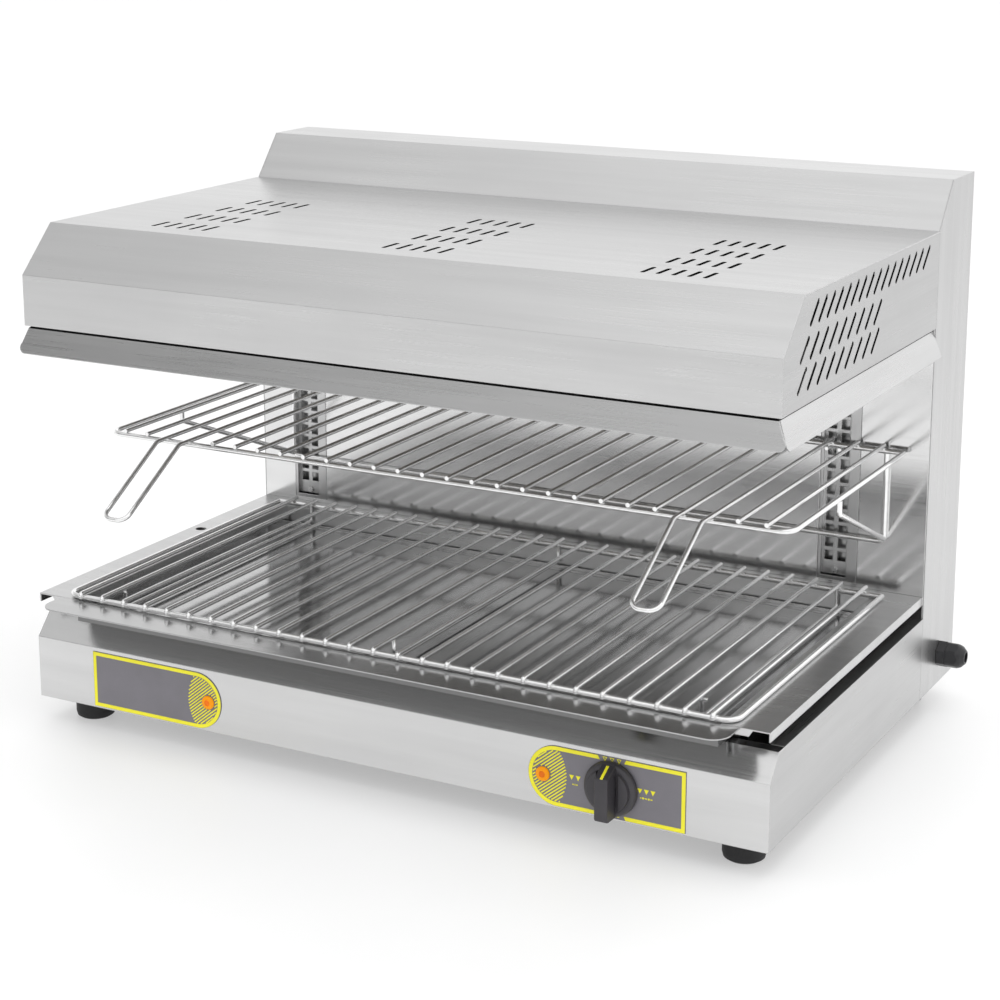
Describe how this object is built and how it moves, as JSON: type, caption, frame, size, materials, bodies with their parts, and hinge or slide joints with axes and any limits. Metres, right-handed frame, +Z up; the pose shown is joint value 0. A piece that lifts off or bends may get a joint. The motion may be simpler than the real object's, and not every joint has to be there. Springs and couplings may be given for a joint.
{
  "type": "cheese melter",
  "caption": "Electric salamander grill in stainless steel, open at the front and sides, with a heated hood, a lift-off grid on rear racks, a lower grid over a drip tray and a rotary switch",
  "frame": {"origin": "on the floor, under the middle of the box that holds the whole object", "axes": "X to the right as seen from the front, Y to the back, Z up"},
  "size_m": [0.8364, 0.557, 0.558],
  "materials": {
    "stainless": "brushed",
    "plain_sheet": "dull",
    "chrome_wire": "polished",
    "foot_rubber": "matte",
    "screw_steel": "satin",
    "insulation": "matte",
    "element_tube": "oxidised",
    "pale_insulator": "matte",
    "control_plate": "satin",
    "amber_lens": "glossy",
    "black_plastic": "matte",
    "pointer_yellow": "satin",
    "terminal_brass": "plain",
    "cable_sleeve": "matte"
  },
  "bodies": {
    "cabinet": {"base_front": "stainless", "base_side_left": "stainless", "base_side_right": "stainless", "base_floor": "plain_sheet", "foot_front_left": "foot_rubber", "foot_front_right": "foot_rubber", "foot_rear_left": "foot_rubber", "foot_rear_right": "foot_rubber", "foot_screws": "screw_steel", "side_frame_left": "plain_sheet", "side_frame_right": "plain_sheet", "runner_left": "plain_sheet", "runner_right": "plain_sheet", "deck": "stainless", "column_side_left": "stainless", "column_side_right": "stainless", "column_cap": "stainless", "back_wall": "stainless", "rear_cover": "stainless", "rear_cover_screws": "screw_steel", "hood_shell": "stainless", "hood_side_left": "stainless", "hood_side_right": "stainless", "visor": "stainless", "reflector": "plain_sheet", "blanket": "insulation", "element_front": "element_tube", "element_rear": "element_tube", "element_hangers": "plain_sheet", "element_insulators": "pale_insulator", "rack_left": "stainless", "rack_right": "stainless", "rack_screws": "screw_steel", "plate_left": "control_plate", "plate_right": "control_plate", "lamp_lens_left": "amber_lens", "lamp_lens_right": "amber_lens", "lamp_body_left": "pale_insulator", "lamp_body_right": "pale_insulator", "switch_body": "pale_insulator", "terminal_block": "pale_insulator", "terminal_screws": "terminal_brass", "lamp_leads": "cable_sleeve", "base_loom": "cable_sleeve", "hood_loom": "cable_sleeve", "gland_body": "black_plastic", "gland_nut": "black_plastic", "gland_seal": "foot_rubber", "gland_locknut": "black_plastic"},
    "selector": {"knob": "black_plastic", "knob_pointer": "pointer_yellow", "switch_shaft": "screw_steel"},
    "tray": {"drip_tray": "stainless"},
    "lower_grid": {"lower_frame": "chrome_wire", "lower_bed": "chrome_wire"},
    "upper_grid": {"upper_frame": "chrome_wire", "upper_bed": "chrome_wire", "handle_left": "chrome_wire", "handle_right": "chrome_wire", "upper_bracket": "chrome_wire"}
  },
  "joints": [
    {"name": "selector_turn", "type": "hinge", "parent": "cabinet", "child": "selector", "pos_m": [0.23925, -0.2435, 0.058], "axis": [0, 1, 0], "range_deg": [-180, 90]},
    {"name": "tray_slide", "type": "slide", "parent": "cabinet", "child": "tray", "axis": [0, -1, 0], "range_m": [0, 0.35]},
    {"name": "lower_grid_lift", "type": "slide", "parent": "cabinet", "child": "lower_grid", "axis": [0, 0, 1], "range_m": [0, 0.04]},
    {"name": "upper_grid_lift", "type": "slide", "parent": "cabinet", "child": "upper_grid", "axis": [0, -0.7071, 0.7071], "range_m": [0, 0.08]}
  ]
}
